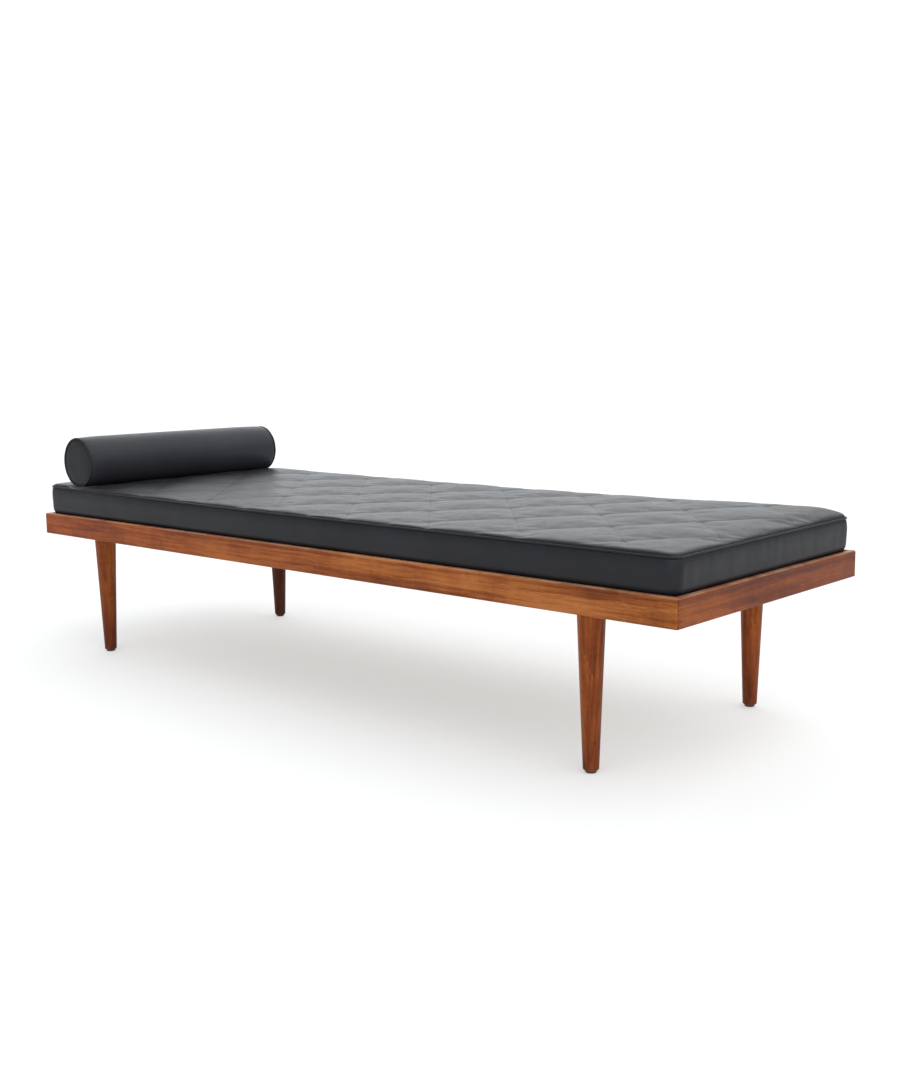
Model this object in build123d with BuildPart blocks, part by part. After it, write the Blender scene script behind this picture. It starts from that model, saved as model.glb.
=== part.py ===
from build123d import *
import os

# Daybed: a mitred hardwood frame on four turned legs, a slatted base, a loose quilted mattress and a
# loose bolster. Millimetres. +X runs from the head (bolster) end to the foot end, the front faces -Y,
# +Z is up, and the origin is on the floor under the middle of the frame.

# ---------------------------------------------------------------- driving dimensions
frame_length = 1900.0
frame_width = 650.0
rail_bottom = 290.0            # also the length of the legs with their glides
rail_height = 52.0
rail_thickness = 22.0
rim_width = 12.0               # part of the rail that stands up around the mattress
rebate_depth = 8.0             # step inside the rim that the mattress edge drops into
rail_top_round = 4.0
rail_bottom_round = 2.0
rail_corner_round = 5.0
rim_inner_round = 1.0

leg_spacing_length = 1496.0    # between leg axes, along X
leg_spacing_width = 560.0      # between leg axes, along Y
leg_top_radius = 25.7
leg_foot_radius = 14.6
leg_foot_chamfer = 3.0

glide_height = 4.0
glide_radius = 10.5
glide_round = 2.5
nail_radius = 1.3
nail_head_radius = 4.0
nail_head_height = 1.0
nail_length = 18.0

bearer_width = 90.0
stretcher_width = 60.0
ledger_thickness = 18.0
corner_block_leg = 45.0
slat_count = 13
slat_width = 70.0
slat_thickness = 12.0
slat_end_gap = 2.0
slat_edge_round = 2.0

bolt_radius = 5.0
bolt_in_leg = 40.0
bolt_in_bearer = 26.0
bolt_chamfer = 1.0
insert_radius = 7.5
insert_length = 22.0
insert_flange_radius = 11.0
insert_flange_height = 1.5
thread_clearance = 0.05
dowel_radius = 4.0
dowel_length = 30.0
dowel_in_rail = 12.0
dowel_chamfer = 0.8
spline_size = (16.0, 4.0, 34.0)
spline_inset = 4.0             # above the rail's underside
slat_screw_bite = 18.0         # depth in the strip under the slat
ledger_screw_bite = 12.0       # depth in the rail
screw_radius = 2.0
screw_head_radius = 4.0
screw_head_height = 2.4
screw_tip = 4.0
screw_drive_width = 0.9
screw_drive_length = 4.4
screw_drive_depth = 1.4

leather = 1.5                  # thickness of the covers
mattress_inset = 11.0          # from the rail's outer face to the mattress side
mattress_corner_round = 20.0
mattress_bottom_round = 17.0
mattress_seam_height = 406.0   # welt around the top edge
mattress_top_height = 410.0
mattress_top_round = 3.5
core_top_chamfer = 3.0
welt_radius = 2.2
welt_inset = 0.5               # the welt's middle line is this far inside the mattress side
rest_gap = 0.3                 # between pieces that only lie on each other

bolster_radius = 64.0
bolster_length = 592.0
bolster_x = -822.0
bolster_y = -7.0
end_welt_radius = 2.6
end_welt_inset = 1.0           # the end welt's middle line is this far inside the bolster's surface

zip_height = 5.5
zip_thickness = 2.2
zip_end_round = 2.6
mattress_zip_length = 1400.0
mattress_zip_z = 376.0
bolster_zip_length = 500.0
slider_size = (11.0, 8.0, 1.6)  # along the zip, across it, and thickness
slider_end_stop = 10.0          # from the end of the chain to the middle of the slider
crown_bar_radius = 0.9
crown_bar_length = 9.6
crown_post = 1.6
crown_reach = 2.2               # from the slider plate to the bar's axis
pull_bore_clearance = 0.06
pull_barrel_radius = 1.9
pull_barrel_length = 6.0
pull_width = 5.5
pull_end_round = 2.6
pull_thickness = 1.4
pull_length = 24.0
pull_hole_radius = 1.2

# ---------------------------------------------------------------- sizes that follow
rail_top = rail_bottom + rail_height
rebate_floor = rail_top - rebate_depth
slat_bottom = rebate_floor - slat_thickness
support_height = slat_bottom - rail_bottom
half_length = frame_length / 2
half_width = frame_width / 2
inner_x = half_length - rail_thickness
inner_y = half_width - rail_thickness
leg_x = leg_spacing_length / 2
leg_y = leg_spacing_width / 2
ledger_y = inner_y - ledger_thickness
support_mid = rail_bottom + support_height / 2
spline_bottom = rail_bottom + spline_inset

os.makedirs("parts", exist_ok=True)


def save(builder, name):
    """Label a finished piece and write it under its own name."""
    builder.part.label = name
    export_step(builder.part, f"parts/{name}.step")


# ---------------------------------------------------------------- fasteners, cut from the wood later
corners = [(-1, -1), (1, -1), (-1, 1), (1, 1)]
leg_points = [(sx * leg_x, sy * leg_y) for sx, sy in corners]
mitre_middles = []
for sx, sy in corners:
    x = sx * (half_length - rail_thickness / 2)
    y = sy * (half_width - rail_thickness / 2)
    mitre_middles.append(Location((x, y, spline_bottom + spline_size[2] / 2), (0, 0, -45 * sx * sy)))

with BuildPart() as corner_splines:
    with Locations(*mitre_middles):
        Box(*spline_size)
save(corner_splines, "corner_splines")

with BuildPart() as hanger_bolt:
    Cylinder(bolt_radius, bolt_in_leg + bolt_in_bearer)
    chamfer(hanger_bolt.edges(), bolt_chamfer)
bolt_mid = rail_bottom + (bolt_in_bearer - bolt_in_leg) / 2
with BuildPart() as leg_bolts:
    with Locations(*[(x, y, bolt_mid) for x, y in leg_points]):
        add(hanger_bolt.part)
save(leg_bolts, "leg_bolts")

# An insert nut and, for the hole it sits in, the same form without its bore.
with BuildPart() as insert_blank:
    Cylinder(insert_radius, insert_length, align=(Align.CENTER, Align.CENTER, Align.MIN))
    Cylinder(insert_flange_radius, insert_flange_height, align=(Align.CENTER, Align.CENTER, Align.MIN))
with BuildPart() as insert_nut:
    add(insert_blank.part)
    Hole(bolt_radius + thread_clearance)
insert_places = [(x, y, rail_bottom) for x, y in leg_points]
with BuildPart() as insert_holes:
    with Locations(*insert_places):
        add(insert_blank.part)
with BuildPart() as leg_inserts:
    with Locations(*insert_places):
        add(insert_nut.part)
save(leg_inserts, "leg_inserts")

# Dowels: two in each end of the leg bearers (into the rails) and of the stretcher (into the ledgers).
with BuildPart() as dowel:
    Cylinder(dowel_radius, dowel_length, rotation=(90, 0, 0))
    chamfer(dowel.edges().filter_by(GeomType.CIRCLE), dowel_chamfer)
dowel_shift = dowel_in_rail - dowel_length / 2
dowel_places = []
for sy in (-1, 1):
    for x in (-leg_x, leg_x):
        for side in (-bearer_width / 4, bearer_width / 4):
            dowel_places.append((x + side, sy * (inner_y + dowel_shift), support_mid))
    for side in (-stretcher_width / 4, stretcher_width / 4):
        dowel_places.append((side, sy * (ledger_y + dowel_shift), support_mid))
with BuildPart() as frame_dowels:
    with Locations(*dowel_places):
        add(dowel.part)
save(frame_dowels, "frame_dowels")


def countersunk_screw(length):
    """A wood screw with its flat head at z = 0, pointing down: the plain form and the one with a drive."""
    with BuildPart() as plain:
        with BuildSketch(Plane.XZ):
            with BuildLine():
                Polyline(
                    (0, 0),
                    (screw_head_radius, 0),
                    (screw_radius, -screw_head_height),
                    (screw_radius, screw_tip - length),
                    (0, -length),
                    close=True,
                )
            make_face()
        revolve(axis=Axis.Z)
    with BuildPart() as driven:
        add(plain.part)
        with Locations((0, 0, -screw_drive_depth / 2)):
            Box(screw_drive_length, screw_drive_width, screw_drive_depth, mode=Mode.SUBTRACT)
            Box(screw_drive_width, screw_drive_length, screw_drive_depth, mode=Mode.SUBTRACT)
    return plain, driven


# Slats and the strips under them.
slat_pitch = 2 * inner_x / slat_count
slat_xs = [(i - (slat_count - 1) / 2) * slat_pitch for i in range(slat_count)]
slat_screw_y = inner_y - ledger_thickness / 2
slat_screw, slat_screw_driven = countersunk_screw(slat_thickness + slat_screw_bite)
slat_screw_places = [(x, sy * slat_screw_y, rebate_floor) for x in slat_xs for sy in (-1, 1)]
with BuildPart() as slat_screw_holes:
    with Locations(*slat_screw_places):
        add(slat_screw.part)
with BuildPart() as slat_screws:
    with Locations(*slat_screw_places):
        add(slat_screw_driven.part)
save(slat_screws, "slat_screws")

ledger_spans = {
    "head": (-inner_x, -leg_x - bearer_width / 2),
    "middle": (-leg_x + bearer_width / 2, leg_x - bearer_width / 2),
    "foot": (leg_x + bearer_width / 2, inner_x),
}
ledger_screw_counts = {"head": 2, "middle": 6, "foot": 2}
ledger_screw, ledger_screw_driven = countersunk_screw(ledger_thickness + ledger_screw_bite)
ledger_screw_places = []
for sy in (-1, 1):
    for span, (start, end) in ledger_spans.items():
        step = (end - start) / ledger_screw_counts[span]
        for i in range(ledger_screw_counts[span]):
            x = start + (i + 0.5) * step
            ledger_screw_places.append(Location((x, sy * ledger_y, support_mid), (90 * sy, 0, 0)))
with BuildPart() as ledger_screw_holes:
    with Locations(*ledger_screw_places):
        add(ledger_screw.part)
with BuildPart() as ledger_screws:
    with Locations(*ledger_screw_places):
        add(ledger_screw_driven.part)
save(ledger_screws, "ledger_screws")

# ---------------------------------------------------------------- rails
# The ring is shaped as one, as after sanding, and then parted on its mitres.
with BuildPart() as rail_ring:
    with BuildSketch(Plane.XY.offset(rail_bottom)):
        RectangleRounded(frame_length, frame_width, rail_corner_round)
        Rectangle(2 * inner_x, 2 * inner_y, mode=Mode.SUBTRACT)
    extrude(amount=rail_height)
    with BuildSketch(Plane.XY.offset(rebate_floor)):
        Rectangle(frame_length - 2 * rim_width, frame_width - 2 * rim_width)
    extrude(amount=rebate_depth, mode=Mode.SUBTRACT)
    top_face = rail_ring.faces().sort_by(Axis.Z)[-1]
    fillet(top_face.outer_wire().edges(), rail_top_round)
    top_face = rail_ring.faces().sort_by(Axis.Z)[-1]
    fillet(top_face.inner_wires()[0].edges(), rim_inner_round)
    bottom_face = rail_ring.faces().sort_by(Axis.Z)[0]
    fillet(bottom_face.outer_wire().edges(), rail_bottom_round)

mitre_reach = 3 * rail_thickness
mitre_near_x = half_length - mitre_reach
mitre_near_y = half_width - mitre_reach
mitre_far_x = half_length + mitre_reach
mitre_far_y = half_width + mitre_reach


def mitred_rail(name, outline):
    """One side of the ring, kept inside an outline whose slanted sides are the mitres."""
    with BuildPart() as rail:
        add(rail_ring.part)
        with BuildSketch(Plane.XY.offset(rail_bottom)):
            Polygon(*outline, align=None)
        extrude(amount=rail_height, mode=Mode.INTERSECT)
        add(corner_splines.part, mode=Mode.SUBTRACT)
        add(frame_dowels.part, mode=Mode.SUBTRACT)
        add(ledger_screw_holes.part, mode=Mode.SUBTRACT)
    save(rail, name)


for name, sy in (("front_rail", -1), ("rear_rail", 1)):
    mitred_rail(
        name,
        [
            (-mitre_far_x, sy * mitre_far_y),
            (mitre_far_x, sy * mitre_far_y),
            (mitre_near_x, sy * mitre_near_y),
            (-mitre_near_x, sy * mitre_near_y),
        ],
    )
for name, sx in (("head_rail", -1), ("foot_rail", 1)):
    mitred_rail(
        name,
        [
            (sx * mitre_far_x, -mitre_far_y),
            (sx * mitre_far_x, mitre_far_y),
            (sx * mitre_near_x, mitre_near_y),
            (sx * mitre_near_x, -mitre_near_y),
        ],
    )

# ---------------------------------------------------------------- hidden frame members
with BuildPart() as corner_blocks:
    for sx, sy in corners:
        with BuildSketch(Plane.XY.offset(rail_bottom)):
            Polygon(
                (sx * inner_x, sy * ledger_y),
                (sx * (inner_x - corner_block_leg), sy * ledger_y),
                (sx * inner_x, sy * (ledger_y - corner_block_leg)),
                align=None,
            )
        extrude(amount=support_height)
save(corner_blocks, "corner_blocks")


def cross_member(name, x, width, half_span):
    """A flat board across the frame, under the slats."""
    with BuildPart() as board:
        with BuildSketch(Plane.XY.offset(rail_bottom)):
            with Locations((x, 0)):
                Rectangle(width, 2 * half_span)
        extrude(amount=support_height)
        for fastener in (insert_holes, leg_bolts, frame_dowels, slat_screw_holes):
            add(fastener.part, mode=Mode.SUBTRACT)
    save(board, name)


cross_member("head_leg_bearer", -leg_x, bearer_width, inner_y)
cross_member("foot_leg_bearer", leg_x, bearer_width, inner_y)
cross_member("centre_stretcher", 0, stretcher_width, ledger_y)

for side, sy in (("front", -1), ("rear", 1)):
    for span, (start, end) in ledger_spans.items():
        with BuildPart() as ledger:
            with BuildSketch(Plane.XY.offset(rail_bottom)):
                with Locations(((start + end) / 2, sy * (ledger_y + ledger_thickness / 2))):
                    Rectangle(end - start, ledger_thickness)
            extrude(amount=support_height)
            for fastener in (ledger_screw_holes, slat_screw_holes, frame_dowels):
                add(fastener.part, mode=Mode.SUBTRACT)
        save(ledger, f"{side}_ledger_{span}")

for number, x in enumerate(slat_xs, start=1):
    with BuildPart() as slat:
        with BuildSketch(Plane.XY.offset(slat_bottom)):
            with Locations((x, 0)):
                Rectangle(slat_width, 2 * (inner_y - slat_end_gap))
        extrude(amount=slat_thickness)
        long_edges = slat.edges().filter_by(Axis.Y).group_by(Axis.Z)[-1]
        fillet(long_edges, slat_edge_round)
        add(slat_screw_holes.part, mode=Mode.SUBTRACT)
    save(slat, f"slat_{number:02d}")

# ---------------------------------------------------------------- legs and glides
with BuildPart() as glide_nail:
    Cylinder(nail_radius, nail_length, align=(Align.CENTER, Align.CENTER, Align.MIN))
    Cylinder(nail_head_radius, nail_head_height, align=(Align.CENTER, Align.CENTER, Align.MIN))
with BuildPart() as glide_nails:
    with Locations(*[(x, y, glide_height / 2) for x, y in leg_points]):
        add(glide_nail.part)
save(glide_nails, "glide_nails")


def turned_leg(name, x, y):
    """A straight-tapered round leg, chamfered at its foot."""
    with BuildPart() as leg:
        with BuildSketch(Plane(origin=(x, y, 0), x_dir=(1, 0, 0), z_dir=(0, -1, 0))):
            with BuildLine():
                Polyline(
                    (0, glide_height),
                    (leg_foot_radius - leg_foot_chamfer, glide_height),
                    (leg_foot_radius, glide_height + leg_foot_chamfer),
                    (leg_top_radius, rail_bottom),
                    (0, rail_bottom),
                    close=True,
                )
            make_face()
        revolve(axis=Axis((x, y, 0), (0, 0, 1)))
        add(leg_bolts.part, mode=Mode.SUBTRACT)
        add(glide_nails.part, mode=Mode.SUBTRACT)
    save(leg, name)


def plastic_glide(name, x, y):
    """A round furniture glide moulded on its nail, with a rounded rim."""
    with BuildPart() as glide:
        with BuildSketch(Plane.XY):
            with Locations((x, y)):
                Circle(glide_radius)
        extrude(amount=glide_height)
        fillet(glide.faces().sort_by(Axis.Z)[0].edges(), glide_round)
        add(glide_nails.part, mode=Mode.SUBTRACT)
    save(glide, name)


for end, sx in (("head", -1), ("foot", 1)):
    for side, sy in (("front", -1), ("rear", 1)):
        turned_leg(f"{side}_{end}_leg", sx * leg_x, sy * leg_y)
        plastic_glide(f"{side}_{end}_glide", sx * leg_x, sy * leg_y)

# ---------------------------------------------------------------- mattress
mattress_length = frame_length - 2 * mattress_inset
mattress_width = frame_width - 2 * mattress_inset
mattress_bottom = rebate_floor + rest_gap
core_bottom = mattress_bottom + leather
core_length = mattress_length - 2 * leather
core_width = mattress_width - 2 * leather

with BuildPart() as mattress_core:
    with BuildSketch(Plane.XY.offset(core_bottom)):
        RectangleRounded(core_length, core_width, mattress_corner_round - leather)
    extrude(amount=mattress_seam_height - core_bottom)
    fillet(mattress_core.faces().sort_by(Axis.Z)[0].edges(), mattress_bottom_round - leather)
    core_plain = mattress_core.part
    chamfer(mattress_core.faces().sort_by(Axis.Z)[-1].edges(), core_top_chamfer)
save(mattress_core, "mattress_core")

welt_x = mattress_length / 2 - welt_inset
welt_y = mattress_width / 2 - welt_inset
with BuildPart() as mattress_piping:
    with BuildLine(Plane.XY.offset(mattress_seam_height)) as welt_line:
        FilletPolyline(
            (welt_x, -welt_y),
            (welt_x, welt_y),
            (-welt_x, welt_y),
            (-welt_x, -welt_y),
            close=True,
            radius=mattress_corner_round - welt_inset,
        )
    with BuildSketch(Plane(origin=welt_line.line @ 0, z_dir=welt_line.line % 0)):
        Circle(welt_radius)
    sweep(path=welt_line.wire())
save(mattress_piping, "mattress_piping")

zip_start_y = core_width / 2
with BuildPart() as mattress_zip_chain:
    with BuildSketch(Plane.XZ.offset(-zip_start_y)):
        with Locations((0, mattress_zip_z)):
            RectangleRounded(mattress_zip_length, zip_height, zip_end_round)
    extrude(amount=-zip_thickness)
save(mattress_zip_chain, "mattress_zip_chain")

base_length = mattress_length - 2 * mattress_bottom_round
base_width = mattress_width - 2 * mattress_bottom_round
with BuildPart() as mattress_base_panel:
    with BuildSketch(Plane.XY.offset(mattress_bottom)):
        RectangleRounded(base_length, base_width, mattress_corner_round - mattress_bottom_round)
    extrude(amount=leather)
save(mattress_base_panel, "mattress_base_panel")

with BuildPart() as mattress_side_band:
    with BuildSketch(Plane.XY.offset(mattress_bottom)):
        RectangleRounded(mattress_length, mattress_width, mattress_corner_round)
    extrude(amount=mattress_seam_height - mattress_bottom)
    fillet(mattress_side_band.faces().sort_by(Axis.Z)[0].edges(), mattress_bottom_round)
    add(core_plain, mode=Mode.SUBTRACT)
    for piece in (mattress_base_panel, mattress_piping, mattress_zip_chain):
        add(piece.part, mode=Mode.SUBTRACT)
save(mattress_side_band, "mattress_side_band")

with BuildPart() as mattress_top_panel:
    with BuildSketch(Plane.XY.offset(mattress_seam_height)):
        RectangleRounded(mattress_length, mattress_width, mattress_corner_round)
    extrude(amount=mattress_top_height - mattress_seam_height)
    fillet(mattress_top_panel.faces().sort_by(Axis.Z)[-1].edges(), mattress_top_round)
    add(mattress_piping.part, mode=Mode.SUBTRACT)
save(mattress_top_panel, "mattress_top_panel")

# ---------------------------------------------------------------- bolster
welt_ring_radius = bolster_radius - end_welt_inset
bolster_z = mattress_top_height + rest_gap + welt_ring_radius + end_welt_radius
bolster_front = bolster_y - bolster_length / 2
bolster_rear = bolster_y + bolster_length / 2
core_radius = bolster_radius - leather

with BuildPart() as bolster_core:
    with BuildSketch(Plane.XZ.offset(-bolster_front - leather)):
        with Locations((bolster_x, bolster_z)):
            Circle(core_radius)
    extrude(amount=-(bolster_length - 2 * leather))
    chamfer(bolster_core.edges().filter_by(GeomType.CIRCLE), 2 * leather)
save(bolster_core, "bolster_core")

with BuildPart() as bolster_zip_chain:
    zip_start_x = bolster_x - core_radius
    with BuildSketch(Plane.YZ.offset(zip_start_x)):
        with Locations((bolster_y, bolster_z)):
            RectangleRounded(bolster_zip_length, zip_height, zip_end_round)
    extrude(amount=-zip_thickness)
save(bolster_zip_chain, "bolster_zip_chain")

end_pipings = {}
for side, y in (("front", bolster_front), ("rear", bolster_rear)):
    with BuildPart() as end_piping:
        with BuildSketch(Plane.YZ.offset(bolster_x)):
            with Locations((y, bolster_z + welt_ring_radius)):
                Circle(end_welt_radius)
        revolve(axis=Axis((bolster_x, y, bolster_z), (0, 1, 0)))
    save(end_piping, f"bolster_{side}_piping")
    end_pipings[side] = end_piping

for side, y, inward in (("front", bolster_front, 1), ("rear", bolster_rear, -1)):
    with BuildPart() as end_disc:
        with BuildSketch(Plane.XZ.offset(-y)):
            with Locations((bolster_x, bolster_z)):
                Circle(core_radius)
        extrude(amount=-inward * leather)
        add(end_pipings[side].part, mode=Mode.SUBTRACT)
    save(end_disc, f"bolster_{side}_end")

with BuildPart() as bolster_sleeve:
    with BuildSketch(Plane.XZ.offset(-bolster_front)):
        with Locations((bolster_x, bolster_z)):
            Circle(bolster_radius)
            Circle(core_radius, mode=Mode.SUBTRACT)
    extrude(amount=-bolster_length)
    for piece in (end_pipings["front"], end_pipings["rear"], bolster_zip_chain):
        add(piece.part, mode=Mode.SUBTRACT)
save(bolster_sleeve, "bolster_sleeve")


# ---------------------------------------------------------------- zip sliders and pulls
def zip_slider(name, face, middle):
    """A slider plate over the chain with a bar that the pull hangs from. The plane `face` lies on the
    chain's outer face, its x along the zip and its y up; `middle` is the slider's place on it."""
    along, across, thick = slider_size
    with BuildPart() as slider:
        with BuildSketch(face.offset(rest_gap)):
            with Locations(middle):
                RectangleRounded(along, across, across / 3)
        extrude(amount=thick)
        with BuildSketch(face.offset(rest_gap + thick)):
            with Locations(middle):
                with GridLocations(crown_bar_length - crown_post, 0, 2, 1):
                    Rectangle(crown_post, crown_post)
        extrude(amount=crown_reach)
        bar_centre = face.from_local_coords(
            Vector(middle[0], middle[1], rest_gap + thick + crown_reach)
        )
        with BuildSketch(Plane(origin=bar_centre, z_dir=face.x_dir)):
            Circle(crown_bar_radius)
        extrude(amount=crown_bar_length / 2, both=True)
    save(slider, name)
    return bar_centre


def zip_pull(name, face, bar_centre):
    """A pull tab that hangs from its barrel on the slider's bar."""
    bar_plane = Plane(origin=bar_centre, x_dir=face.x_dir, z_dir=face.z_dir)
    with BuildPart() as pull:
        with BuildSketch(Plane(origin=bar_centre, z_dir=face.x_dir)):
            Circle(pull_barrel_radius)
        extrude(amount=pull_barrel_length / 2, both=True)
        with BuildSketch(bar_plane):
            with Locations((0, -pull_length / 2)):
                RectangleRounded(pull_width, pull_length, pull_end_round)
            with Locations((0, -pull_length + pull_width / 2)):
                Circle(pull_hole_radius, mode=Mode.SUBTRACT)
        extrude(amount=pull_thickness / 2, both=True)
        with BuildSketch(Plane(origin=bar_centre, z_dir=face.x_dir)):
            Circle(crown_bar_radius + pull_bore_clearance)
        extrude(amount=pull_barrel_length, both=True, mode=Mode.SUBTRACT)
    save(pull, name)


mattress_zip_face = Plane(
    origin=(0, zip_start_y + zip_thickness, mattress_zip_z), x_dir=(-1, 0, 0), z_dir=(0, 1, 0)
)
mattress_bar = zip_slider(
    "mattress_zip_slider", mattress_zip_face, (slider_end_stop - mattress_zip_length / 2, 0)
)
zip_pull("mattress_zip_pull", mattress_zip_face, mattress_bar)

bolster_zip_face = Plane(
    origin=(zip_start_x - zip_thickness, bolster_y, bolster_z), x_dir=(0, -1, 0), z_dir=(-1, 0, 0)
)
bolster_bar = zip_slider(
    "bolster_zip_slider", bolster_zip_face, (slider_end_stop - bolster_zip_length / 2, 0)
)
zip_pull("bolster_zip_pull", bolster_zip_face, bolster_bar)
print("mattress pull axis", mattress_bar, "bolster pull axis", bolster_bar)
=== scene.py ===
import math

import bmesh
import bpy
import numpy as np
from mathutils import Matrix, Vector, noise
from mathutils.bvhtree import BVHTree


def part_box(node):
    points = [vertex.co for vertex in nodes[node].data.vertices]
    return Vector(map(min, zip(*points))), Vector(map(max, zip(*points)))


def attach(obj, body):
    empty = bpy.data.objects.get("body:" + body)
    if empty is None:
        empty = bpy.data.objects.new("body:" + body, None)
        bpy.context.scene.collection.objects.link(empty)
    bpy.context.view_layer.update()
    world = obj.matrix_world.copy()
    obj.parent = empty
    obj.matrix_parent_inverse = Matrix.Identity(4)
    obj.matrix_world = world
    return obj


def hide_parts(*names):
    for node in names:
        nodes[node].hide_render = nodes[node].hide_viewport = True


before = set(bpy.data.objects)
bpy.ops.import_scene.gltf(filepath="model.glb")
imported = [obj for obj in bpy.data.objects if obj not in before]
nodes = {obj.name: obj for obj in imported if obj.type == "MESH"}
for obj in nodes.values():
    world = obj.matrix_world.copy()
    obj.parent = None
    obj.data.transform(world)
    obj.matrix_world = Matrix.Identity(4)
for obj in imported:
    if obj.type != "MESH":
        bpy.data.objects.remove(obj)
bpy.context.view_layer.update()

scene = bpy.context.scene
MM = 0.001


def map_range(tree, value, numbers):
    """A node that maps a value from one range to another: numbers are from, from, to and to."""
    node = tree.nodes.new("ShaderNodeMapRange")
    for key, number in zip(("From Min", "From Max", "To Min", "To Max"), numbers):
        node.inputs[key].default_value = number
    tree.links.new(value, node.inputs["Value"])
    return node


# ------------------------------------------------------------------ camera, light and floor
def make_camera():
    """A camera at standing height in front of the foot end, a little off the long side."""
    place = Vector((2.0417, -2.0679, 0.7341))
    yaw, pitch, roll = math.radians(-42.23), math.radians(8.215), math.radians(-0.73)
    ahead = Vector((math.sin(yaw) * math.cos(pitch), math.cos(yaw) * math.cos(pitch), -math.sin(pitch)))
    right = Vector((math.cos(yaw), -math.sin(yaw), 0.0))
    up = right.cross(ahead)
    right_rolled = right * math.cos(roll) + up * math.sin(roll)
    up_rolled = up * math.cos(roll) - right * math.sin(roll)
    data = bpy.data.cameras.new("camera")
    data.lens = 42.94
    data.sensor_width = 36.0
    data.sensor_fit = "AUTO"
    data.clip_start = 0.05
    data.clip_end = 500.0
    camera = bpy.data.objects.new("camera", data)
    scene.collection.objects.link(camera)
    turn = Matrix((right_rolled, up_rolled, -ahead)).transposed()
    camera.matrix_world = Matrix.Translation(place) @ turn.to_4x4()
    scene.camera = camera


def make_world():
    """Dim white surroundings with a bright wall behind the daybed and a soft box behind the camera."""
    world = bpy.data.worlds.new("studio")
    world.use_nodes = True
    tree = world.node_tree
    background = tree.nodes["Background"]
    background.inputs["Color"].default_value = (0.965, 1.0, 1.02, 1.0)
    direction = tree.nodes.new("ShaderNodeTexCoord").outputs["Generated"]
    # Each light area: the way towards it, where it begins and ends as a cosine, and its two strengths.
    total = None
    for toward, levels in (
        ((-0.71, 0.57, 0.42), (0.50, 0.96, 0.36, 1.90)),
        ((0.42, -0.80, 0.43), (0.45, 0.92, 0.0, 1.26)),
    ):
        facing = tree.nodes.new("ShaderNodeVectorMath")
        facing.operation = "DOT_PRODUCT"
        facing.inputs[1].default_value = toward
        tree.links.new(direction, facing.inputs[0])
        level = map_range(tree, facing.outputs["Value"], levels)
        level.interpolation_type = "SMOOTHSTEP"
        if total is None:
            total = level.outputs["Result"]
            continue
        both = tree.nodes.new("ShaderNodeMath")
        both.operation = "ADD"
        tree.links.new(total, both.inputs[0])
        tree.links.new(level.outputs["Result"], both.inputs[1])
        total = both.outputs["Value"]
    tree.links.new(total, background.inputs["Strength"])
    scene.world = world
    scene.view_settings.view_transform = "Standard"


def make_overhead_light():
    """One very wide, very soft light from high up, beyond the foot end."""
    data = bpy.data.lights.new("overhead", "SUN")
    data.energy = 1.7
    data.angle = math.radians(75)
    light = bpy.data.objects.new("overhead", data)
    scene.collection.objects.link(light)
    light.rotation_mode = "QUATERNION"
    light.rotation_quaternion = Vector((-0.52, -0.26, -0.80)).to_track_quat("-Z", "Y")


def make_floor():
    """A pale floor lit a little from within, like a light table, so that shadows on it stay faint."""
    reach = 150.0
    mesh = bpy.data.meshes.new("floor")
    mesh.from_pydata(
        [(-reach, -reach, 0), (reach, -reach, 0), (reach, reach, 0), (-reach, reach, 0)],
        [],
        [(0, 1, 2, 3)],
    )
    material = bpy.data.materials.new("pale_floor")
    material.use_nodes = True
    shader = material.node_tree.nodes["Principled BSDF"]
    shader.inputs["Base Color"].default_value = (0.50, 0.50, 0.50, 1.0)
    shader.inputs["Emission Color"].default_value = (1.0, 1.0, 1.0, 1.0)
    shader.inputs["Emission Strength"].default_value = 0.40
    shader.inputs["Roughness"].default_value = 0.9
    shader.inputs["Specular IOR Level"].default_value = 0.1
    add_piece("floor", mesh, material, None)


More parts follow.
